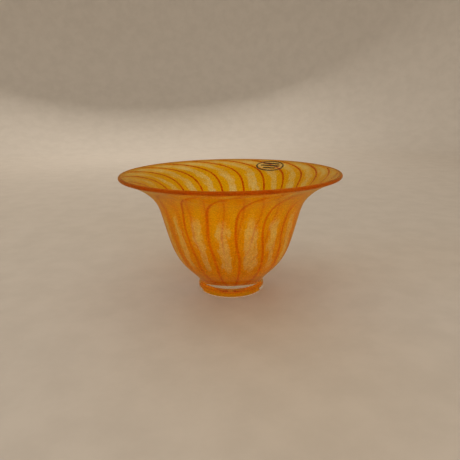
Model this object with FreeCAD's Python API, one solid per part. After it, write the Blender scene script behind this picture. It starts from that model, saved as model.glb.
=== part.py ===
"""Art glass bowl: a blown bowl with a wide flared rim on a clear applied foot.

The bowl is three gathers of hot glass, fused on the blowing iron:
  - amber_layer, the coloured inner bubble, which lines the whole inside,
  - thread_01 to thread_18, orange canes laid along the bubble and rolled flush into its outer face,
  - clear_casing, the clear gather over both, which also closes round the lip,
with foot_disc, the clear foot applied under it, and a small see-through label inside the rim.
Millimetres, +Z up, origin at the centre of the face that the bowl rests on.
"""
import FreeCAD, Part
import math
import os

# ---- driving dimensions ----
rim_radius = 94.0
bowl_height = 105.0
lip_radius = 1.5               # fire-polished round of the lip
wall_at_lip = 3.0
wall_at_base = 3.6
wall_thin_share = 0.62         # share of the wall's length over which it thins to its lip size
inner_wall_start = 0.11        # share of the outer wall below which the inside is already floor
amber_thickness = 1.4
lip_clear_width = 0.6          # clear glass between the amber layer and the lip's crown

foot_radius = 29.2
foot_height = 8.4
foot_neck_radius = 28.0
foot_widest_height = 4.0
foot_edge_run = 1.8            # rounded lower edge, across and up
foot_edge_rise = 1.6
foot_edge_bow = 0.33           # how far that edge stands off its chord
foot_side_lean = 0.25          # how much narrower the side is at the top of that edge
neck_bow = 0.08                # the same for the casing's fused edge on the foot
pontil_radius = 11.0           # polished hollow under the foot
pontil_depth = 1.0

floor_height = 14.2            # inside floor, at the centre
floor_flat_radius = 12.0
floor_dish = 0.15              # rise of the floor at that radius

thread_count = 18
thread_radius = 1.1            # a cane before it is rolled flush
thread_steps = 26              # places along a cane that its path is drawn through
thread_end_radius = 9.0        # how near the canes come to the axis under the floor
thread_lip_gap = 0.8           # from the amber layer's edge to the canes' ends
first_bearing = -5.5           # degrees from +X, at the straight middle of the wall
rim_sweep = 46.0               # degrees that the canes lean round at the lip
rim_sweep_length = 15.5        # distance over which that lean dies away
base_sweep = 8.0               # degrees that they lean round under the body
base_sweep_start = 72.0
base_sweep_length = 9.0

label_width = 31.0
label_depth = 18.0
label_bearing = 61.5
label_from_lip = 11.3
label_margin = 0.6             # from the film's edge to the border
label_skin_reach = 24.0        # the label's skin runs from here to label_skin_gap from the lip
label_skin_gap = 1.6
label_cutter = 14.0            # half the height of the prisms that cut the label out of that skin
film_thickness = 0.15
ink_thickness = 0.06
ink_line = 1.4

# Outer face of the body from the foot to the lip, as (radius, height).
BODY_OUTLINE = [
    (28.4, 8.9), (29.6, 11.0), (35.7, 18.0), (42.9, 25.5), (48.8, 34.7), (56.7, 58.2),
    (59.9, 70.1), (63.8, 80.7), (70.2, 88.7), (79.2, 95.5), (93.13, 102.14),
]

# The canes are laid by hand, so each is a little off its even place, in degrees.
CANE_WANDER = [
    1.0, 1.0, 1.0, 0.5, 0.5, 1.0, 1.0, -0.5, -2.0,
    -1.0, -3.0, -3.0, -3.0, -3.5, -2.0, 0.5, 0.5, 0.0,
]

# Plain rules printed inside the label's border, as (width, depth, place up the label).
LABEL_RULES = [(17.0, 1.9, 3.6), (20.0, 1.9, 0.0), (13.0, 1.7, -3.6)]

origin = FreeCAD.Vector(0, 0, 0)
axis = FreeCAD.Vector(0, 0, 1)


# ---- outlines in the XZ plane ----
def point(radius, height):
    return FreeCAD.Vector(radius, 0, height)


def spline_through(points, **ends):
    curve = Part.BSplineCurve()
    curve.interpolate([point(*p) for p in points], **ends)
    return curve


def along(curve, share):
    """Point and unit tangent at a share of the curve's length."""
    u = curve.parameterAtDistance(share * curve.length(), curve.FirstParameter)
    tangent = FreeCAD.Vector(curve.tangent(u)[0])
    return curve.value(u), tangent


def offset_points(curve, distance_at, first, last, steps):
    """Points beside the curve, on the side of the bowl's inside when the distance is positive."""
    points = []
    for step in range(steps + 1):
        share = first + (last - first) * step / steps
        place, tangent = along(curve, share)
        distance = distance_at(share)
        points.append((place.x - tangent.z * distance, place.z + tangent.x * distance))
    return points


def body_outer():
    return spline_through(BODY_OUTLINE)


def wall_thickness(share):
    return wall_at_base + (wall_at_lip - wall_at_base) * min(1.0, share / wall_thin_share)


def body_inner():
    """Inner face of the bowl, from the axis along the floor and up the wall to the lip."""
    wall = offset_points(body_outer(), wall_thickness, inner_wall_start, 1.0, 11)
    floor = [(0.0, floor_height), (floor_flat_radius, floor_height + floor_dish)]
    return spline_through(floor + wall, InitialTangent=FreeCAD.Vector(1, 0, 0),
                          FinalTangent=along(body_outer(), 1.0)[1])


def colour_face():
    """Face between the amber layer and the clear casing, from the axis to the lip."""
    inner = body_inner()
    points = offset_points(inner, lambda share: -amber_thickness, 0.0, 1.0, 16)
    points[0] = (0.0, floor_height - amber_thickness)
    return spline_through(points, InitialTangent=FreeCAD.Vector(1, 0, 0),
                          FinalTangent=along(inner, 1.0)[1])


def cut_back(curve, distance):
    """The curve without its last stretch of the given length."""
    u = curve.parameterAtDistance(curve.length() - distance, curve.FirstParameter)
    shorter = curve.copy()
    shorter.segment(curve.FirstParameter, u)
    return shorter


def line(start, end):
    return Part.LineSegment(start, end).toShape()


def arc(start, middle, end):
    return Part.Arc(start, middle, end).toShape()


def bowed(start, end, bow):
    """Arc that stands off its chord by bow, to the right of the way it runs."""
    chord = end - start
    side = FreeCAD.Vector(chord.z, 0, -chord.x).normalize()
    return arc(start, (start + end) * 0.5 + side * bow, end)


def revolve(edges):
    wire = Part.Wire(Part.__sortEdges__(edges))
    solid = Part.Face(wire).revolve(origin, axis, 360)
    return solid if solid.Volume > 0 else solid.reversed()


# ---- glass layers ----
def clear_casing():
    outer = body_outer()
    inner = body_inner()
    colour = cut_back(colour_face(), lip_clear_width)
    lip_end, lip_way = along(outer, 1.0)
    lip_start = inner.EndPoint
    crown = (lip_end + lip_start) * 0.5 + lip_way * lip_radius
    inner_step = cut_back(inner, lip_clear_width).EndPoint
    inner_lip = inner.copy()
    inner_lip.segment(inner.parameter(inner_step), inner.LastParameter)
    seat = point(foot_neck_radius, foot_height)
    edges = [
        line(point(0, foot_height), seat),
        bowed(seat, outer.StartPoint, neck_bow),
        outer.toShape(),
        arc(lip_end, crown, lip_start),
        inner_lip.toShape(),
        line(inner_step, colour.EndPoint),
        colour.toShape(),
        line(colour.StartPoint, point(0, foot_height)),
    ]
    return revolve(edges)


def amber_blank():
    """The coloured bubble before the canes are pressed into it."""
    inner = cut_back(body_inner(), lip_clear_width)
    colour = cut_back(colour_face(), lip_clear_width)
    edges = [
        inner.toShape(),
        line(inner.EndPoint, colour.EndPoint),
        colour.toShape(),
        line(colour.StartPoint, inner.StartPoint),
    ]
    return revolve(edges)


def cane_lean(from_lip):
    """Degrees that a cane has swung round the axis at a distance from the lip along the wall."""
    rim = rim_sweep * math.exp(-from_lip / rim_sweep_length)
    base = base_sweep / (1 + math.exp((base_sweep_start - from_lip) / base_sweep_length))
    return rim + base


def cane():
    """One cane as a round rod along the colour face, at bearing zero."""
    path_face = colour_face()
    full = path_face.length()
    start = full - lip_clear_width - thread_lip_gap
    places = []
    for step in range(thread_steps + 1):
        travelled = start + (thread_end_radius - start) * step / thread_steps
        place = along(path_face, travelled / full)[0]
        bearing = math.radians(cane_lean(full - travelled))
        places.append(FreeCAD.Vector(place.x * math.cos(bearing), place.x * math.sin(bearing), place.z))
    path = Part.BSplineCurve()
    path.interpolate(places)
    way = FreeCAD.Vector(path.tangent(path.FirstParameter)[0])
    ring = Part.Circle(path.StartPoint, way, thread_radius)
    return Part.Wire(path.toShape()).makePipeShell([Part.Wire(ring.toShape())], True, True)


def bearings():
    pitch = 360.0 / thread_count
    return [first_bearing + k * pitch + CANE_WANDER[k] for k in range(thread_count)]


def turned(shape, degrees):
    copy = shape.copy()
    copy.rotate(origin, axis, degrees)
    return copy


def foot_disc():
    """Clear foot: nearly straight side, rounded lower edge, and a polished hollow underneath."""
    flat_edge = point(foot_radius - foot_edge_run, 0)
    edge_top = point(foot_radius - foot_side_lean, foot_edge_rise)
    neck = point(foot_neck_radius, foot_height)
    hollow_ball = (pontil_radius ** 2 + pontil_depth ** 2) / (2 * pontil_depth)
    hollow_middle = point(pontil_radius / 2, pontil_depth - pontil_radius ** 2 / (8 * hollow_ball))
    side = Part.BSplineCurve()
    side.interpolate([edge_top, point(foot_radius, foot_widest_height), neck])
    edges = [
        line(point(0, foot_height), point(0, pontil_depth)),
        arc(point(0, pontil_depth), hollow_middle, point(pontil_radius, 0)),
        line(point(pontil_radius, 0), flat_edge),
        bowed(flat_edge, edge_top, foot_edge_bow),
        side.toShape(),
        line(neck, point(0, foot_height)),
    ]
    return revolve(edges)


# ---- label ----
def label_frame():
    """Centre of the label on the inner face, and the directions along, up and out of it."""
    inner = body_inner()
    place, tangent = along(inner, 1.0 - label_from_lip / inner.length())
    out = FreeCAD.Vector(-tangent.z, 0, tangent.x)
    return place, FreeCAD.Vector(0, 1, 0), tangent, out


def label_skin(low, high):
    """The space over the inner face near the lip, between two heights above the glass."""
    inner = body_inner()
    first = 1.0 - label_skin_reach / inner.length()
    last = 1.0 - label_skin_gap / inner.length()
    below = spline_through(offset_points(inner, lambda share: low, first, last, 6))
    above = spline_through(offset_points(inner, lambda share: high, first, last, 6))
    return revolve([
        below.toShape(),
        line(below.EndPoint, above.EndPoint),
        above.toShape(),
        line(above.StartPoint, below.StartPoint),
    ])


def oval(half_width, half_depth):
    """A tall oval prism standing through the label's centre."""
    ellipse = Part.Ellipse(origin, half_width, half_depth).toShape()
    prism = Part.Face(Part.Wire(ellipse)).extrude(axis * (2 * label_cutter))
    prism.translate(axis * -label_cutter)
    return stand_on_label(prism)


def bar(width, depth, shift):
    """A tall bar through the label, parallel to its width."""
    corner = FreeCAD.Vector(-width / 2, shift - depth / 2, -label_cutter)
    return stand_on_label(Part.makeBox(width, depth, 2 * label_cutter, corner))


def stand_on_label(shape):
    place, across, up, out = label_frame()
    matrix = FreeCAD.Matrix(
        across.x, up.x, out.x, place.x,
        across.y, up.y, out.y, place.y,
        across.z, up.z, out.z, place.z,
        0, 0, 0, 1,
    )
    return shape.transformGeometry(matrix)


def label_film():
    skin = label_skin(0.0, film_thickness)
    return turned(skin.common(oval(label_width / 2, label_depth / 2)), label_bearing)


def label_print():
    """Generic print: an oval border and plain rules, no lettering."""
    skin = label_skin(film_thickness, film_thickness + ink_thickness)
    half_width = label_width / 2 - label_margin
    half_depth = label_depth / 2 - label_margin
    border = oval(half_width, half_depth).cut(oval(half_width - ink_line, half_depth - ink_line))
    rules = [bar(*rule) for rule in LABEL_RULES]
    pieces = [skin.common(shape) for shape in [border] + rules]
    return turned(Part.makeCompound(pieces), label_bearing)


# ---- build ----
def save(name, shape):
    shape.exportStep("parts/" + name + ".step")
    print(name, "solids", len(shape.Solids), "valid", shape.isValid(), "mm3", round(shape.Volume, 1))


def main():
    os.makedirs("parts", exist_ok=True)
    rod = cane()
    blank = amber_blank()
    rods = [turned(rod, bearing) for bearing in bearings()]
    thread = blank.common(rod)
    save("foot_disc", foot_disc())
    save("clear_casing", clear_casing())
    save("amber_layer", blank.cut(rods))
    for k, bearing in enumerate(bearings()):
        save("thread_%02d" % (k + 1), turned(thread, bearing))
    save("label_film", label_film())
    save("label_print", label_print())


main()
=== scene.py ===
"""Looks of the art glass bowl: clear casing, amber lining with orange canes, clear foot and label.

The glass is modelled as it is optically: air-facing faces bend light, and the faces where one gather is
fused to the next let it straight through, so that the layers read as one solid glass with colour inside it.
"""
import math
import random

import bmesh
import bpy
import numpy as np
from mathutils import Matrix, Vector, noise
from mathutils.bvhtree import BVHTree


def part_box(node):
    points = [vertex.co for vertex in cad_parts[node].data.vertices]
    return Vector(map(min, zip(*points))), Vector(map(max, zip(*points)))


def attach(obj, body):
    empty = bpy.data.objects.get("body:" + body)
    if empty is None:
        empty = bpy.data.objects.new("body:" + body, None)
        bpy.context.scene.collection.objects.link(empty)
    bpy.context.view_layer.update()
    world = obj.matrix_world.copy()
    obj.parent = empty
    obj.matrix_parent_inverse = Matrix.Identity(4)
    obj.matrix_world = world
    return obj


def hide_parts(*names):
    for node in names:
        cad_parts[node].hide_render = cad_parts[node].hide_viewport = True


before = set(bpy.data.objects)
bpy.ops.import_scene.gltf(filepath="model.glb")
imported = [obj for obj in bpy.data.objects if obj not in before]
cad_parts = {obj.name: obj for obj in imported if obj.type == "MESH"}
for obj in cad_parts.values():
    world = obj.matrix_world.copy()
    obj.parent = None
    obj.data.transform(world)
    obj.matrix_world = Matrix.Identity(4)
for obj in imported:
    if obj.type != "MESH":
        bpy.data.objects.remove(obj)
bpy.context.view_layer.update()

MM = 0.001
TURN = 2 * math.pi

# ---- sizes, repeated from the design or read from its frame ----
casing_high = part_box("clear_casing")[1]
foot_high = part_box("foot_disc")[1]
RIM_RADIUS = casing_high.x
BOWL_HEIGHT = casing_high.z
LIP_RADIUS = 1.5 * MM
LIP_CLEAR = 0.6 * MM           # clear glass between the lip's round and the amber layer
LIP_SLOPE = math.radians(20)
AMBER_THICKNESS = 1.4 * MM
FOOT_RADIUS = foot_high.x
FOOT_HEIGHT = foot_high.z
FOOT_NECK = 28.0 * MM
FOOT_EDGE_RUN = 1.6 * MM
FOOT_EDGE_RISE = 1.7 * MM
FOOT_WIDEST_HEIGHT = 4.0 * MM
FOOT_LEAN = (0.4 * MM, 6.5 * MM)                 # how far in the side has come, and at what height
FOOT_FLAT_STEP = 3.3 * MM
PONTIL_RADIUS = 11.0 * MM
PONTIL_DEPTH = 1.0 * MM
FUSED_GAP = 0.04 * MM          # keeps two fused faces from landing on one another
# The casing just over the foot, as (radius, height).
SHOULDER = [(28.26 * MM, 8.6 * MM), (28.4 * MM, 8.9 * MM), (29.6 * MM, 11.0 * MM)]

CANE_COUNT = 18
CANE_HALF_WIDTH = 1.0 * MM
CANE_HALF_DEPTH = 0.5 * MM
CANE_LIP_GAP = 0.8 * MM
CANE_END_RADIUS = 9.0 * MM
FIRST_BEARING = -5.5
RIM_SWEEP = 46.0
RIM_SWEEP_LENGTH = 15.5 * MM
BASE_SWEEP = 8.0
BASE_SWEEP_START = 72.0 * MM
BASE_SWEEP_LENGTH = 9.0 * MM
CANE_WANDER = [
    1.0, 1.0, 1.0, 0.5, 0.5, 1.0, 1.0, -0.5, -2.0,
    -1.0, -3.0, -3.0, -3.0, -3.5, -2.0, 0.5, 0.5, 0.0,
]

LABEL_WIDTH = 31.0 * MM
LABEL_DEPTH = 18.0 * MM
LABEL_BEARING = 61.5
LABEL_FROM_LIP = 11.3 * MM
LABEL_MARGIN = 0.6 * MM
LABEL_LINE = 1.4 * MM
LABEL_RULES = [(17.0, 1.9, 3.6), (20.0, 1.9, 0.0), (13.0, 1.7, -3.6)]     # width, depth and place up, in mm
FILM_SPAN = (0.03 * MM, 0.15 * MM)               # from and to this height over the glass
INK_SPAN = (0.16 * MM, 0.21 * MM)

RIM_SAG = 0.6 * MM             # the rim droops a little on one side
RIM_SAG_BEARING = 190.0
CALM_RADIUS = 0.058            # the sag starts outside this radius
CALM_HEIGHT = 0.02             # and the wander above this height
WANDER = 0.25 * MM
WANDER_RAMP = 0.03

ROUND = 288                    # steps round the bowl


# ---- profiles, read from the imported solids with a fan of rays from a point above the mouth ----
def tree_of(node):
    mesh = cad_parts[node].data
    corners = [v.co.copy() for v in mesh.vertices]
    return BVHTree.FromPolygons(corners, [tuple(p.vertices) for p in mesh.polygons])


def smooth_curve(points, count):
    """Points evenly spaced along a cubic spline through the given points."""
    points = np.array(points)
    chord = np.concatenate([[0], np.cumsum(np.hypot(*np.diff(points, axis=0).T))])
    fine = np.linspace(0, chord[-1], 1200)
    curve = np.stack([natural_spline(chord, points[:, i], fine) for i in (0, 1)], axis=1)
    arc = np.concatenate([[0], np.cumsum(np.hypot(*np.diff(curve, axis=0).T))])
    even = np.linspace(0, arc[-1], count)
    return np.stack([np.interp(even, arc, curve[:, i]) for i in (0, 1)], axis=1)


def natural_spline(x, y, at):
    """Natural cubic spline through (x, y)."""
    n = len(x)
    h = np.diff(x)
    system = np.eye(n)
    right = np.zeros(n)
    for i in range(1, n - 1):
        system[i, i - 1:i + 2] = h[i - 1], 2 * (h[i - 1] + h[i]), h[i]
        right[i] = 6 * ((y[i + 1] - y[i]) / h[i] - (y[i] - y[i - 1]) / h[i - 1])
    bend = np.linalg.solve(system, right)
    i = np.clip(np.searchsorted(x, at) - 1, 0, n - 2)
    left, rest = at - x[i], x[i + 1] - at
    return (bend[i] * rest ** 3 + bend[i + 1] * left ** 3) / (6 * h[i]) + \
        (y[i] / h[i] - bend[i] * h[i] / 6) * rest + (y[i + 1] / h[i] - bend[i + 1] * h[i] / 6) * left


def fan_profile(node, which):
    """Outline of one face of a node in the XZ plane, from the axis or foot up to near the lip.

    Gives (radius, height). which is the order in which the eye meets the node's faces.
    """
    tree = tree_of(node)
    eye = Vector((0, 0, BOWL_HEIGHT + 2 * MM))
    points = []
    slopes = [*np.linspace(89.9, 60, 12), *np.linspace(56, 24, 9), *np.linspace(21, 4.2, 9)]
    for slope in slopes:
        way = Vector((math.cos(math.radians(slope)), 0, -math.sin(math.radians(slope))))
        start = eye.copy()
        hits = []
        while len(hits) < 4:
            place, _, _, _ = tree.ray_cast(start, way)
            if place is None:
                break
            hits.append((place.x, place.z))
            start = place + way * 0.05 * MM
        if len(hits) > which:
            points.append(hits[which])
    return points


# The eye meets the amber layer's inner face first, and the casing's colour face before its outer face.
inner_line = fan_profile("amber_layer", 0)
colour_line = fan_profile("clear_casing", 0)
outer_line = [p for p in fan_profile("clear_casing", 1) if p[1] > SHOULDER[-1][1] + 1.5 * MM]


def lean(from_lip):
    """Degrees that a cane has swung round the axis at a distance from the lip along the wall."""
    rim = RIM_SWEEP * np.exp(-from_lip / RIM_SWEEP_LENGTH)
    return rim + BASE_SWEEP / (1 + np.exp((BASE_SWEEP_START - from_lip) / BASE_SWEEP_LENGTH))


def cane_bearings():
    pitch = 360 / CANE_COUNT
    return [FIRST_BEARING + k * pitch + CANE_WANDER[k] for k in range(CANE_COUNT)]


def lip_end(line, side):
    """The line carried on to where the lip's round begins, on the inner (-1) or outer (+1) side."""
    centre = np.array([RIM_RADIUS - LIP_RADIUS, BOWL_HEIGHT - LIP_RADIUS])
    normal = np.array([math.sin(LIP_SLOPE), -math.cos(LIP_SLOPE)]) * side
    return list(line) + [tuple(centre + normal * LIP_RADIUS)]


inner_curve = smooth_curve([(0.0, inner_line[0][1])] + lip_end(inner_line[1:], -1), 170)
outer_curve = smooth_curve(lip_end(SHOULDER[1:] + outer_line, 1), 150)
lip_normal = np.array([math.sin(LIP_SLOPE), -math.cos(LIP_SLOPE)])
colour_end = np.array(inner_curve[-1]) + lip_normal * AMBER_THICKNESS
colour_curve = smooth_curve([(0.0, colour_line[0][1])] + colour_line[1:] + [tuple(colour_end)], 170)
colour_arc = np.concatenate([[0], np.cumsum(np.hypot(*np.diff(colour_curve, axis=0).T))])
WALL_LENGTH = colour_arc[-1]


def arc_at(points):
    """Distance from the lip along the colour face, for points anywhere in the wall's thickness."""
    near = ((points[:, None, :] - colour_curve[None]) ** 2).sum(-1).argmin(1)
    return WALL_LENGTH - colour_arc[near]


def drop_end(curve, length):
    """The curve without its last stretch."""
    arc = np.concatenate([[0], np.cumsum(np.hypot(*np.diff(curve, axis=0).T))])
    keep = arc < arc[-1] - length
    end = [np.interp(arc[-1] - length, arc, curve[:, i]) for i in (0, 1)]
    return np.concatenate([curve[keep], [end]])


def take_end(curve, length):
    """Only the curve's last stretch."""
    arc = np.concatenate([[0], np.cumsum(np.hypot(*np.diff(curve, axis=0).T))])
    keep = arc > arc[-1] - length
    start = [np.interp(arc[-1] - length, arc, curve[:, i]) for i in (0, 1)]
    return np.concatenate([[start], curve[keep]])


# ---- hand-made unevenness, the same for every layer ----
def hand_made(place):
    """Moves a point of the perfect bowl to where the blown one has it: a soft sag and a faint wander."""
    x, y, z = place
    radius = math.hypot(x, y)
    bearing = math.atan2(y, x)
    reach = max(0.0, (radius - CALM_RADIUS) / (RIM_RADIUS - CALM_RADIUS)) ** 1.5
    side = 0.5 + 0.5 * math.cos(bearing - math.radians(RIM_SAG_BEARING))
    drop = RIM_SAG * side ** 2 * reach
    height = max(0.0, z - CALM_HEIGHT)
    wander = noise.noise(Vector((x * 14, y * 14, z * 9))) * WANDER * min(1.0, height / WANDER_RAMP)
    scale = 1 - abs(wander) / max(radius, 0.01)
    return (x * scale, y * scale, z - drop)


def flow_u(bearing, from_lip):
    """Place across the canes: a whole number on each, evenly between, from 0 to CANE_COUNT round the bowl."""
    marks = cane_bearings()
    straight = (np.degrees(bearing) - lean(from_lip) - marks[0]) % 360
    steps = [(m - marks[0]) for m in marks] + [360.0]
    return np.interp(straight, steps, range(CANE_COUNT + 1))


# ---- mesh building ----
def new_object(name, vertices, faces, materials):
    mesh = bpy.data.meshes.new(name)
    mesh.from_pydata([tuple(v) for v in vertices], [], faces)
    piece = bpy.data.objects.new(name, mesh)
    bpy.context.scene.collection.objects.link(piece)
    for material in materials:
        mesh.materials.append(material)
    mesh.polygons.foreach_set("use_smooth", [True] * len(mesh.polygons))
    mesh.validate()
    return piece


def revolved(name, stations, bands, materials):
    """A closed solid of revolution, with the bowl's unevenness.

    stations are (radius, height), and bands[i] is the material slot from station i to the next. A station on
    the axis becomes one point.
    """
    vertices, rows = [], []
    for radius, height in stations:
        if radius < 1e-6:
            rows.append([len(vertices)] * ROUND)
            vertices.append(hand_made((0.0, 0.0, height)))
            continue
        row = []
        for j in range(ROUND):
            bearing = TURN * j / ROUND
            row.append(len(vertices))
            vertices.append(hand_made((radius * math.cos(bearing), radius * math.sin(bearing), height)))
        rows.append(row)
    faces, slots = [], []
    for i in range(len(rows) - 1):
        for j in range(ROUND):
            k = (j + 1) % ROUND
            corners = [rows[i][j], rows[i][k], rows[i + 1][k], rows[i + 1][j]]
            face = [c for n, c in enumerate(corners) if c not in corners[:n]]
            if len(face) > 2:
                faces.append(face)
                slots.append(int(bands[i]))
    piece = new_object(name, vertices, faces, materials)
    piece.data.polygons.foreach_set("material_index", slots[:len(piece.data.polygons)])
    turn_outward(piece)
    return piece


def turn_outward(piece):
    b = bmesh.new()
    b.from_mesh(piece.data)
    bmesh.ops.recalc_face_normals(b, faces=b.faces)
    if b.calc_volume(signed=True) < 0:
        bmesh.ops.reverse_faces(b, faces=b.faces)
    b.to_mesh(piece.data)
    b.free()


def add_flow(piece):
    """Stores, on each corner, where it lies along the canes' flow: across them and down from the lip."""
    mesh = piece.data
    layer = mesh.uv_layers.new(name="flow")
    places = np.array([v.co for v in mesh.vertices])
    bearing = np.arctan2(places[:, 1], places[:, 0])
    radius = np.hypot(places[:, 0], places[:, 1])
    from_lip = arc_at(np.stack([radius, places[:, 2]], axis=1))
    u = flow_u(bearing, from_lip) / CANE_COUNT
    loops = np.array([l.vertex_index for l in mesh.loops])
    values = np.stack([u[loops], (from_lip / WALL_LENGTH)[loops]], axis=1)
    for polygon in mesh.polygons:
        span = list(polygon.loop_indices)
        part = values[span, 0]
        if part.max() - part.min() > 0.5:
            values[span, 0] = np.where(part < 0.5, part + 1, part)
    layer.data.foreach_set("uv", values.ravel())


# ---- materials ----
# Linear light: what one crossing of the colour layer lets through, and what its frit scatters.
PALE_TINT = (1.0, 0.87, 0.42, 1)
AMBER_TINT = (1.0, 0.65, 0.008, 1)
HALO_TINT = (1.0, 0.57, 0.006, 1)
PALE_FRIT = (1.0, 0.80, 0.30, 1)
AMBER_FRIT = (1.0, 0.53, 0.004, 1)
FRIT_THIN, FRIT_DENSE = 0.34, 0.61
LAMP_THROUGH = (1.0, 0.86, 0.55, 1)
LAMP_SHARE = 0.8               # share of lamp light that takes that way through the colour layer
RIPPLE = 0.48 * MM
LEAST_FACING = 0.45            # light in the glass never runs flatter than this to the layer
FLOOR_FROM_LIP = 0.100         # where the wall turns into the floor, measured down from the lip


class Nodes:
    """Short way to build a node tree."""

    def __init__(self, name):
        self.material = bpy.data.materials.new(name)
        self.material.use_nodes = True
        self.tree = self.material.node_tree
        self.tree.nodes.clear()

    def add(self, kind, inputs=(), **settings):
        node = self.tree.nodes.new(kind)
        for key, value in settings.items():
            setattr(node, key, value)
        for key, value in dict(inputs).items():
            socket = node.inputs[key]
            if isinstance(value, bpy.types.NodeSocket):
                self.tree.links.new(value, socket)
            else:
                socket.default_value = value
        return node

    def maths(self, operation, *values, clamp=False):
        sockets = dict(enumerate(values))
        return self.add("ShaderNodeMath", sockets, operation=operation, use_clamp=clamp).outputs[0]

    def span(self, value, low, high, to_low=0.0, to_high=1.0, smooth=True):
        inputs = {
            "Value": value, "From Min": low, "From Max": high, "To Min": to_low, "To Max": to_high}
        kind = "SMOOTHSTEP" if smooth else "LINEAR"
        return self.add("ShaderNodeMapRange", inputs, interpolation_type=kind).outputs[0]

    def blend(self, factor, a, b):
        inputs = {0: factor, 6: a, 7: b}
        return self.add("ShaderNodeMix", inputs, data_type="RGBA").outputs[2]

    def noise(self, vector, scale, detail=2.0, roughness=0.5):
        inputs = {"Vector": vector, "Scale": scale, "Detail": detail, "Roughness": roughness}
        return self.add("ShaderNodeTexNoise", inputs).outputs["Fac"]

    def mix(self, factor, a, b):
        return self.add("ShaderNodeMixShader", {0: factor, 1: a, 2: b}).outputs[0]

    def finish(self, shader):
        self.add("ShaderNodeOutputMaterial", {"Surface": shader})
        return self.material


def rgb(red, green, blue):
    """A colour given on a 0 to 255 display scale, as linear light."""
    def linear(value):
        value = value / 255
        return value / 12.92 if value <= 0.04045 else ((value + 0.055) / 1.055) ** 2.4
    return (linear(red), linear(green), linear(blue), 1.0)


def flow_fields(n):
    """Where a point lies in the canes' flow.

    Gives across (0 to 1 from cane to cane), down (0 at the lip) and a vector that follows the flow round the
    bowl with no seam.
    """
    uv = n.add("ShaderNodeUVMap", uv_map="flow").outputs[0]
    split = n.add("ShaderNodeSeparateXYZ", {0: uv})
    around = n.maths("MULTIPLY", split.outputs[0], TURN)
    across = n.maths("FRACT", n.maths("MULTIPLY", split.outputs[0], float(CANE_COUNT)))
    down = n.maths("MULTIPLY", split.outputs[1], float(WALL_LENGTH))
    ring = n.add("ShaderNodeCombineXYZ", {
        0: n.maths("COSINE", around),
        1: n.maths("SINE", around),
        2: n.maths("MULTIPLY", down, 6.0)}).outputs[0]
    return across, down, ring


def open_to_lamps(n, glass, tint):
    """Lets lamp light through the glass, tinted, where a bent ray could never find the lamp."""
    shadow = n.add("ShaderNodeLightPath").outputs["Is Shadow Ray"]
    clear = n.add("ShaderNodeBsdfTransparent", {"Color": tint}).outputs[0]
    return n.mix(shadow, glass, clear)


def glass(name, tint, lamp_tint, painted_reflection_tint):
    """Air-facing glass: fire-polished, with a faint wandering ripple and a touch of handling haze."""
    n = Nodes(name)
    place = n.add("ShaderNodeTexCoord").outputs["Object"]
    slow = n.noise(place, 38.0, 2.0)
    haze = n.noise(place, 210.0, 4.0, 0.6)
    rough = n.span(haze, 0.45, 0.8, 0.012, 0.055)
    bump = n.add("ShaderNodeBump", {"Height": slow, "Strength": 0.35, "Distance": RIPPLE})
    # Painted reflection: Specular Tint colours what the glass mirrors, faintly warm on the clear glass and
    # orange on the casing, amber and lip glass.
    bsdf = n.add("ShaderNodeBsdfPrincipled", {
        "Base Color": tint, "Roughness": rough, "IOR": 1.5, "Transmission Weight": 1.0,
        "Specular Tint": painted_reflection_tint, "Normal": bump.outputs[0]})
    return n.finish(open_to_lamps(n, bsdf.outputs[0], lamp_tint))


def fused(name):
    """A face fused to the next gather: light goes straight through."""
    n = Nodes(name)
    return n.finish(n.add("ShaderNodeBsdfTransparent", {"Color": (1, 1, 1, 1)}).outputs[0])


def through_thickness(n, tint):
    """The tint, deepened where light crosses the layer at a slant and its way through is longer."""
    facing = n.add("ShaderNodeLayerWeight", {"Blend": 0.5}).outputs["Facing"]
    longer = n.maths("DIVIDE", 1.0, n.maths("MAXIMUM", n.maths("SUBTRACT", 1.0, facing), LEAST_FACING))
    parts = n.add("ShaderNodeSeparateColor", {0: tint}).outputs
    deeper = {i: n.maths("POWER", parts[i], longer) for i in range(3)}
    return n.add("ShaderNodeCombineColor", deeper).outputs[0]


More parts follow.
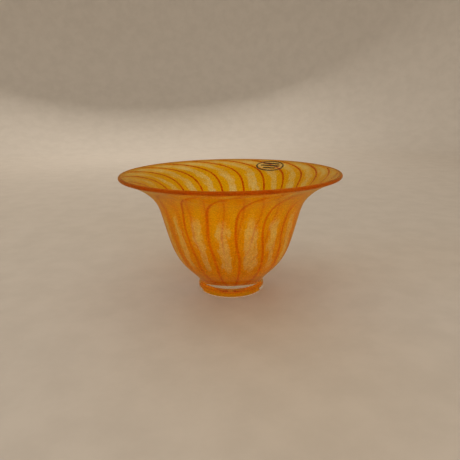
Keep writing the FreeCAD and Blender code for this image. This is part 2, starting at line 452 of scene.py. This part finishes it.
def amber_sheet():
    """The colour layer's buried face: amber glass with pale frit, richer along the canes, paler between.

    The pale windows start lower on the near side, fade towards the floor, and break up into crackle; the near
    side's darker upper wall is painted shade.
    """
    n = Nodes("amber_colour")
    place = n.add("ShaderNodeTexCoord").outputs["Object"]
    across, down, ring = flow_fields(n)
    from_cane = n.maths("SUBTRACT", 0.5, n.maths("ABSOLUTE", n.maths("SUBTRACT", across, 0.5)))
    streak = n.span(n.noise(ring, 11.0, 4.0, 0.65), 0.3, 0.7, -0.13, 0.13)
    patch = n.span(n.noise(place, 110.0, 4.0, 0.65), 0.35, 0.65, -0.22, 0.22)
    halo = n.span(n.maths("ADD", from_cane, n.maths("MULTIPLY", streak, 0.4)), 0.03, 0.11, 1.0, 0.0)
    window = n.span(n.maths("ADD", from_cane, streak), 0.15, 0.43)
    above_floor = n.span(down, FLOOR_FROM_LIP - 0.014, FLOOR_FROM_LIP, 1.0, 0.0)
    # Painted shade: the near side, toward the camera, keeps fewer pale windows high on the wall than the far
    # side.
    far_side = n.span(n.add("ShaderNodeSeparateXYZ", {0: place}).outputs[1], -0.030, 0.030)
    shoulder = n.span(down, 0.034, 0.058, n.span(far_side, 0.0, 1.0, 0.10, 0.70), 1.0)
    window = n.maths("MULTIPLY", window, n.maths("MULTIPLY", above_floor, shoulder))
    body = n.span(down, 0.004, 0.022)
    cells = n.add(
        "ShaderNodeTexVoronoi", {"Vector": place, "Scale": 600.0}, feature="DISTANCE_TO_EDGE").outputs[0]
    crackle = n.span(cells, 0.0, 0.20, 0.20, -0.08)
    rich = n.maths("MULTIPLY", n.span(window, 0.0, 1.0, 1.22, 0.04), n.span(body, 0.0, 1.0, 0.50, 1.0))
    floor = n.span(down, FLOOR_FROM_LIP + 0.010, FLOOR_FROM_LIP + 0.022, 1.0, 0.30)
    rich = n.maths("MULTIPLY", rich, floor)
    rich = n.maths("ADD", rich, n.maths("ADD", patch, crackle), clamp=True)
    tint = n.blend(rich, PALE_TINT, AMBER_TINT)
    halo = n.maths("MULTIPLY", halo, n.span(above_floor, 0.0, 1.0, 0.25, 1.0))
    tint = n.blend(n.maths("MULTIPLY", halo, n.span(body, 0.0, 1.0, 0.15, 0.55)), tint, HALO_TINT)
    frit_colour = n.blend(rich, PALE_FRIT, AMBER_FRIT)
    speck = n.noise(place, 620.0, 4.0, 0.7)
    frit = n.maths("MULTIPLY", n.span(speck, 0.34, 0.66), n.span(cells, 0.0, 0.20, 0.45, 1.0))
    frit = n.maths("MULTIPLY", frit, n.span(down, 0.002, 0.024, 0.35, 1.0))
    frit = n.span(frit, 0.0, 1.0, FRIT_THIN, FRIT_DENSE, smooth=False)
    clear = n.add("ShaderNodeBsdfTransparent", {"Color": through_thickness(n, tint)}).outputs[0]
    lit = n.add("ShaderNodeBsdfDiffuse", {"Color": frit_colour}).outputs[0]
    through = n.add("ShaderNodeBsdfTranslucent", {"Color": frit_colour}).outputs[0]
    sheet = n.mix(frit, clear, n.mix(0.55, lit, through))
    to_lamp = n.add("ShaderNodeBsdfTransparent", {"Color": LAMP_THROUGH}).outputs[0]
    shadow = n.add("ShaderNodeLightPath").outputs["Is Shadow Ray"]
    return n.finish(n.mix(n.maths("MULTIPLY", shadow, LAMP_SHARE), sheet, to_lamp))


def cane_glass():
    """Dense orange cane, blotchy and beaded, buried in the wall."""
    n = Nodes("orange_cane")
    place = n.add("ShaderNodeTexCoord").outputs["Object"]
    blotch = n.noise(place, 160.0, 3.0, 0.6)
    bead = n.noise(place, 520.0, 2.0, 0.5)
    tint = n.blend(n.span(blotch, 0.3, 0.7), (0.90, 0.52, 0.02, 1), (0.84, 0.40, 0.004, 1))
    solid = n.blend(n.span(bead, 0.35, 0.7), (0.78, 0.28, 0.001, 1), (0.90, 0.38, 0.003, 1))
    clear = n.add("ShaderNodeBsdfTransparent", {"Color": tint}).outputs[0]
    lit = n.add("ShaderNodeBsdfDiffuse", {"Color": solid}).outputs[0]
    through = n.add("ShaderNodeBsdfTranslucent", {"Color": solid}).outputs[0]
    dense = n.span(bead, 0.35, 0.65, 0.15, 0.40)
    return n.finish(n.mix(dense, clear, n.mix(0.5, lit, through)))


def film():
    """The label's thin see-through film, faintly dusty."""
    n = Nodes("label_film")
    place = n.add("ShaderNodeTexCoord").outputs["Object"]
    dust = n.noise(place, 900.0, 3.0)
    tint = n.blend(n.span(dust, 0.3, 0.7), rgb(254, 252, 244), rgb(250, 246, 234))
    clear = n.add("ShaderNodeBsdfTransparent", {"Color": tint}).outputs[0]
    rough = n.span(dust, 0, 1, 0.2, 0.4)
    lit = n.add("ShaderNodeBsdfPrincipled", {"Base Color": tint, "Roughness": rough}).outputs[0]
    return n.finish(n.mix(0.03, clear, lit))


def ink():
    """Dark print, worn thin in specks."""
    n = Nodes("label_ink")
    place = n.add("ShaderNodeTexCoord").outputs["Object"]
    wear = n.noise(place, 1400.0, 3.0)
    colour = n.blend(n.span(wear, 0.35, 0.7), rgb(40, 28, 6), rgb(74, 56, 18))
    clear = n.add("ShaderNodeBsdfTransparent", {"Color": rgb(150, 126, 70)}).outputs[0]
    lit = n.add("ShaderNodeBsdfPrincipled", {"Base Color": colour, "Roughness": 0.55}).outputs[0]
    return n.finish(n.mix(n.span(wear, 0.2, 0.7, 0.97, 0.85), clear, lit))


# The last colour of each glass is a painted reflection tint.
clear_glass = glass("clear_glass", rgb(254, 253, 250), rgb(252, 248, 240), (1.0, 0.95, 0.88, 1.0))
casing_glass = glass("casing_glass", rgb(255, 250, 232), rgb(255, 246, 226), (1.0, 0.60, 0.10, 1.0))
amber_glass = glass("amber_glass", rgb(255, 250, 226), rgb(255, 246, 214), (1.0, 0.60, 0.10, 1.0))
# The lip is clear glass; its amber tint here is painted shade, standing in for the dark orange band that
# light carried round through the amber layer gives it.
lip_glass_painted_shade = glass("lip_glass_painted_shade", rgb(220, 160, 62), rgb(236, 172, 90), (1.0, 0.55, 0.10, 1.0))
fused_face = fused("fused_face")
amber_colour = amber_sheet()
orange = cane_glass()


# ---- the bowl's layers ----
def lip_round():
    """The lip's crown from the inner side, over the top, to the outer side."""
    centre = np.array([RIM_RADIUS - LIP_RADIUS, BOWL_HEIGHT - LIP_RADIUS])
    points = []
    for step in range(1, 16):
        turn = math.pi / 2 + LIP_SLOPE - math.pi * step / 16
        points.append(centre + LIP_RADIUS * np.array([math.cos(turn), math.sin(turn)]))
    return points


def casing():
    """The clear outer gather: seat on the foot, outside, lip, and the buried face against the amber layer."""
    seat = [(radius, FOOT_HEIGHT + FUSED_GAP) for radius in (0.0, FOOT_NECK * 0.5, FOOT_NECK)]
    shoulder = SHOULDER[:1]
    outside = list(outer_curve)
    lip = [tuple(p) for p in reversed(lip_round())]
    inner_lip = list(reversed(take_end(inner_curve, LIP_CLEAR)))
    colour = list(reversed(drop_end(colour_curve, LIP_CLEAR)))
    stations = seat + shoulder + outside + lip + inner_lip + colour
    below_lip = len(seat) + len(shoulder) + len(outside)
    air = below_lip + len(lip) + len(inner_lip) - 1
    # The lip and the last stations of the outside take the lip glass with its painted amber shade.
    rim = below_lip - 4
    slots = [1 if i < len(seat) - 1 or i >= air else 2 if i >= rim else 0 for i in range(len(stations) - 1)]
    piece = revolved("clear_casing_glass", stations, slots, [casing_glass, fused_face, lip_glass_painted_shade])
    add_flow(piece)
    return piece


def amber():
    """The amber bubble: its polished inside, and its coloured face buried under the casing."""
    inside = list(drop_end(inner_curve, LIP_CLEAR))
    colour = list(reversed(drop_end(colour_curve, LIP_CLEAR)))
    colour = [(max(r - FUSED_GAP * 0.7, 0.0), z + FUSED_GAP * 0.7) for r, z in colour]
    colour[-1] = (0.0, colour[-1][1])
    stations = inside + colour
    buried = [i >= len(inside) - 1 for i in range(len(stations) - 1)]
    piece = revolved("amber_layer_glass", stations, buried, [amber_glass, amber_colour])
    add_flow(piece)
    return piece


def foot():
    """The clear foot, with the polished hollow under it and its top fused to the casing."""
    top = [(FOOT_NECK, FOOT_HEIGHT), (FOOT_NECK * 0.5, FOOT_HEIGHT), (0.0, FOOT_HEIGHT)]
    hollow = [(PONTIL_RADIUS * i / 12, PONTIL_DEPTH * (1 - (i / 12) ** 2)) for i in range(13)]
    flat = [(PONTIL_RADIUS + i * FOOT_FLAT_STEP, 0.0) for i in range(1, 5)]
    edge_centre = (FOOT_RADIUS - FOOT_EDGE_RISE, FOOT_EDGE_RISE)
    edge = []
    for step in range(0, 9):
        turn = -math.pi / 2 + math.pi / 2 * step / 8
        run = FOOT_EDGE_RUN * math.cos(turn)
        rise = FOOT_EDGE_RISE * math.sin(turn)
        edge.append((edge_centre[0] + run, edge_centre[1] + rise))
    widest = (FOOT_RADIUS, FOOT_WIDEST_HEIGHT)
    leaning = (FOOT_RADIUS - FOOT_LEAN[0], FOOT_LEAN[1])
    side = smooth_curve([edge[-1], widest, leaning, (FOOT_NECK, FOOT_HEIGHT)], 24)
    stations = hollow + flat + edge + [tuple(p) for p in side[1:]] + top[1:]
    buried = [i >= len(stations) - 3 for i in range(len(stations) - 1)]
    return revolved("foot_disc_glass", stations, buried, [clear_glass, fused_face])


def rounded_end(share):
    """How full a cane is at a share of its length from its end."""
    return min(1.0, math.sqrt(min(share / 0.03, 1.0)) + 0.15)


def cane(index, bearing):
    """One cane, rolled flush into the amber layer: a flattened rod whose width wanders along its length."""
    draw = random.Random(100 + index)
    phase = draw.uniform(0, 50)
    start = WALL_LENGTH - LIP_CLEAR - CANE_LIP_GAP
    rows, ring = 150, 12
    centres, normals = [], []
    for row in range(rows + 1):
        travelled = start + (CANE_END_RADIUS - start) * row / rows
        radius, height = (float(np.interp(travelled, colour_arc, colour_curve[:, i])) for i in (0, 1))
        ahead, back = (
            [float(np.interp(travelled + step, colour_arc, colour_curve[:, i])) for i in (0, 1)]
            for step in (0.4 * MM, -0.4 * MM))
        way = Vector((ahead[0] - back[0], 0, ahead[1] - back[1])).normalized()
        out = Vector((way.z, 0, -way.x))
        from_lip = WALL_LENGTH - travelled
        wobble = noise.noise(Vector((phase, from_lip * 45, 0))) * 1.1 * min(1.0, from_lip / 0.03)
        turn = Matrix.Rotation(math.radians(bearing + float(lean(from_lip)) + wobble), 3, "Z")
        sunk = Vector((radius, 0, height)) - out * (CANE_HALF_DEPTH + 0.1 * MM)
        centres.append(Vector(hand_made(turn @ sunk)))
        normals.append(turn @ out)
    vertices, faces = [], []
    for row, centre in enumerate(centres):
        along = (centres[min(row + 1, rows)] - centres[max(row - 1, 0)]).normalized()
        out = (normals[row] - along * normals[row].dot(along)).normalized()
        across = along.cross(out)
        share = row / rows
        taper = rounded_end(share) * rounded_end(1 - share)
        swell = 0.78 + 0.35 * share + 0.30 * noise.noise(Vector((phase, share * 24, 3.0)))
        beads = 0.16 * noise.noise(Vector((phase, share * 90, 7.0))) * min(1.0, share * 2.5)
        narrowing = 1 - 0.4 * max(0.0, share - 0.62) / 0.38
        width = CANE_HALF_WIDTH * (swell + beads) * taper * narrowing
        depth = CANE_HALF_DEPTH * min(1.0, swell) * taper
        for step in range(ring):
            angle = TURN * step / ring
            vertices.append(centre + across * width * math.cos(angle) + out * depth * math.sin(angle))
    for row in range(rows):
        for step in range(ring):
            after = (step + 1) % ring
            here, onward = row * ring, (row + 1) * ring
            faces.append([here + step, here + after, onward + after, onward + step])
    faces.append(list(reversed(range(ring))))
    faces.append([rows * ring + step for step in range(ring)])
    piece = new_object("orange_cane_%02d" % (index + 1), vertices, faces, [orange])
    turn_outward(piece)
    return piece


# ---- label ----
def on_inner_face(across, up, height):
    """A point over the inner face: across and up from the label's centre, and height out of the glass."""
    arc = np.concatenate([[0], np.cumsum(np.hypot(*np.diff(inner_curve, axis=0).T))])
    travelled = arc[-1] - LABEL_FROM_LIP + up
    radius, z = (float(np.interp(travelled, arc, inner_curve[:, i])) for i in (0, 1))
    ahead = [float(np.interp(travelled + 0.5 * MM, arc, inner_curve[:, i])) for i in (0, 1)]
    way = Vector((ahead[0] - radius, 0, ahead[1] - z)).normalized()
    out = Vector((-way.z, 0, way.x))
    place = Vector((radius, 0, z)) + out * height
    turn = Matrix.Rotation(math.radians(LABEL_BEARING) + across / radius, 3, "Z")
    return hand_made(turn @ place)


def label_sheet(name, loops, low, high, material):
    """Thin closed pieces lying on the inner face, each from a loop (outer outline, inner outline or None)."""
    vertices, faces = [], []
    for outline, hole in loops:
        rings = []
        levels = 1 if hole is not None else 10
        count = len(outline)
        cx = sum(p[0] for p in outline) / count
        cy = sum(p[1] for p in outline) / count
        for level in range(levels + 1):
            share = level / levels
            ring = []
            for step in range(count):
                end = hole[step] if hole is not None else (cx, cy)
                a = outline[step][0] * (1 - share) + end[0] * share
                b = outline[step][1] * (1 - share) + end[1] * share
                ring.append((a, b))
            rings.append(ring)
        first = len(vertices)
        for side, height in enumerate((high, low)):
            for ring in rings:
                for a, b in ring:
                    vertices.append(on_inner_face(a, b, height))
        half = (levels + 1) * count
        for level in range(levels):
            for step in range(count):
                after = (step + 1) % count
                here = first + level * count
                onward = here + count
                face = [here + step, here + after, onward + after, onward + step]
                faces.append(face)
                faces.append([half + c for c in reversed(face)])
        for step in range(count):
            after = (step + 1) % count
            faces.append([first + step, first + half + step, first + half + after, first + after])
            if hole is not None:
                base = first + levels * count
                faces.append([base + step, base + after, base + half + after, base + half + step])
    piece = new_object(name, vertices, faces, [material])
    b = bmesh.new()
    b.from_mesh(piece.data)
    bmesh.ops.remove_doubles(b, verts=b.verts, dist=1e-7)
    b.to_mesh(piece.data)
    b.free()
    turn_outward(piece)
    return piece


def oval(half_width, half_depth):
    """An oval outline of 72 points."""
    turns = [TURN * i / 72 for i in range(72)]
    return [(half_width * math.cos(turn), half_depth * math.sin(turn)) for turn in turns]


def rule(width, depth, shift):
    """A plain bar's outline, with enough points along it to follow the glass."""
    half = 12
    top = [(width * (0.5 - i / (half - 1)), shift + depth / 2) for i in range(half)]
    return top + [(-a, shift - depth / 2) for a, _ in top]


def label():
    """The film, and the print on it: an oval border and plain bars."""
    w, d = LABEL_WIDTH / 2, LABEL_DEPTH / 2
    base = label_sheet("label_film_oval", [(oval(w, d), None)], *FILM_SPAN, film())
    outer, inner = LABEL_MARGIN, LABEL_MARGIN + LABEL_LINE
    edge = (oval(w - outer, d - outer), oval(w - inner, d - inner))
    bars = [(rule(width * MM, depth * MM, up * MM), None) for width, depth, up in LABEL_RULES]
    marks = label_sheet("label_print_marks", [edge] + bars, *INK_SPAN, ink())
    return base, marks


# ---- put the pieces together ----
def keep(piece, node, slot):
    """Hands a piece to the frame in place of its CAD node."""
    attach(piece, "root")
    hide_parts(node)


keep(foot(), "foot_disc", "clear_glass")
keep(casing(), "clear_casing", "clear_glass")
keep(amber(), "amber_layer", "amber_glass")
for index, bearing in enumerate(cane_bearings()):
    keep(cane(index, bearing), "thread_%02d" % (index + 1), "orange_glass")
label_base, label_marks = label()
keep(label_base, "label_film", "label_film")
keep(label_marks, "label_print", "label_ink")


# ---- floor, light and camera ----
FLOOR_HEIGHT = -0.06 * MM      # a film of air between the polished foot and the floor


def shelf_paint():
    """Plain pale paint with a very faint grain."""
    n = Nodes("shelf_paint")
    place = n.add("ShaderNodeTexCoord").outputs["Object"]
    grain = n.noise(place, 30.0, 4.0, 0.6)
    colour = n.blend(n.span(grain, 0.3, 0.7), rgb(184, 178, 170), rgb(190, 184, 176))
    paint = n.add("ShaderNodeBsdfPrincipled", {"Base Color": colour, "Roughness": 0.75})
    return n.finish(paint.outputs[0])


def stage():
    """A plain pale floor that curves up into a plain pale wall all round."""
    stations = [(0.15 * i, FLOOR_HEIGHT) for i in range(9)]
    for step in range(1, 13):
        turn = -math.pi / 2 + math.pi / 2 * step / 12
        stations.append((1.2 + 0.5 * math.cos(turn), FLOOR_HEIGHT + 0.5 + 0.5 * math.sin(turn)))
    stations.append((1.7, 2.0))
    vertices, faces = [], []
    steps = 96
    for radius, height in stations:
        for j in range(steps):
            turn = TURN * j / steps
            vertices.append((radius * math.cos(turn), radius * math.sin(turn), height))
    for i in range(len(stations) - 1):
        for j in range(steps):
            k = (j + 1) % steps
            faces.append([i * steps + j, i * steps + k, (i + 1) * steps + k, (i + 1) * steps + j])
    floor = new_object("studio_floor", vertices, faces, [shelf_paint()])
    b = bmesh.new()
    b.from_mesh(floor.data)
    bmesh.ops.remove_doubles(b, verts=b.verts, dist=1e-6)
    b.to_mesh(floor.data)
    b.free()
    floor.visible_glossy = False       # the glass mirrors the dim colour set in world_light instead


def world_light():
    """Even light from all round, which the glass mirrors dimmer and warmer than it shines."""
    world = bpy.data.worlds.new("studio")
    bpy.context.scene.world = world
    world.use_nodes = True
    tree = world.node_tree
    background = tree.nodes["Background"]
    background.inputs["Strength"].default_value = 0.93
    mirrored = tree.nodes.new("ShaderNodeLightPath").outputs["Is Glossy Ray"]
    colour = tree.nodes.new("ShaderNodeMix")
    colour.data_type = "RGBA"
    colour.inputs[6].default_value = rgb(240, 228, 212)
    colour.inputs[7].default_value = rgb(158, 120, 66)
    tree.links.new(mirrored, colour.inputs[0])
    tree.links.new(colour.outputs[2], background.inputs["Color"])


def lamp(name, place, power, size, colour):
    """A soft lamp aimed at the bowl, not itself seen in the glass."""
    light = bpy.data.lights.new(name, "AREA")
    light.shape = "RECTANGLE"
    light.size, light.size_y = size
    light.energy = power
    light.color = colour[:3]
    holder = bpy.data.objects.new(name, light)
    bpy.context.scene.collection.objects.link(holder)
    holder.location = place
    holder.visible_glossy = False
    holder.visible_transmission = False
    aim = Vector((0, 0, 0.05)) - Vector(place)
    holder.rotation_euler = aim.to_track_quat("-Z", "Y").to_euler()


def camera():
    """A camera a little above the rim, looking slightly down into the bowl."""
    pitch, yaw, roll = math.radians(15.33), math.radians(1.346), math.radians(-0.572)
    look = Vector((-math.sin(yaw) * math.cos(pitch), math.cos(yaw) * math.cos(pitch), -math.sin(pitch)))
    right = Vector((math.cos(yaw), math.sin(yaw), 0))
    up = right.cross(look)
    x_axis = right * math.cos(roll) + up * math.sin(roll)
    y_axis = up * math.cos(roll) - right * math.sin(roll)
    view = bpy.data.cameras.new("camera")
    view.sensor_width = 36.0
    view.lens = 36.0
    view.clip_start = 0.01
    holder = bpy.data.objects.new("camera", view)
    bpy.context.scene.collection.objects.link(holder)
    pose = Matrix((x_axis, y_axis, -look)).transposed().to_4x4()
    pose.translation = Vector((8.635, -393.13, 160.70)) * MM
    holder.matrix_world = pose
    bpy.context.scene.camera = holder


stage()
world_light()
lamp("window_left", (-1.25, -0.55, 0.5), 6.5, (1.1, 0.9), rgb(255, 244, 228))
lamp("window_back", (-0.3, 1.25, 0.7), 7.5, (1.2, 0.8), rgb(255, 246, 234))
lamp("fill_front", (0.4, -1.3, 0.45), 10.5, (1.2, 0.8), rgb(255, 246, 234))
camera()
cycles = bpy.context.scene.cycles
cycles.max_bounces = 24
cycles.transmission_bounces = 24
cycles.transparent_max_bounces = 48
bpy.context.scene.view_settings.view_transform = "Standard"
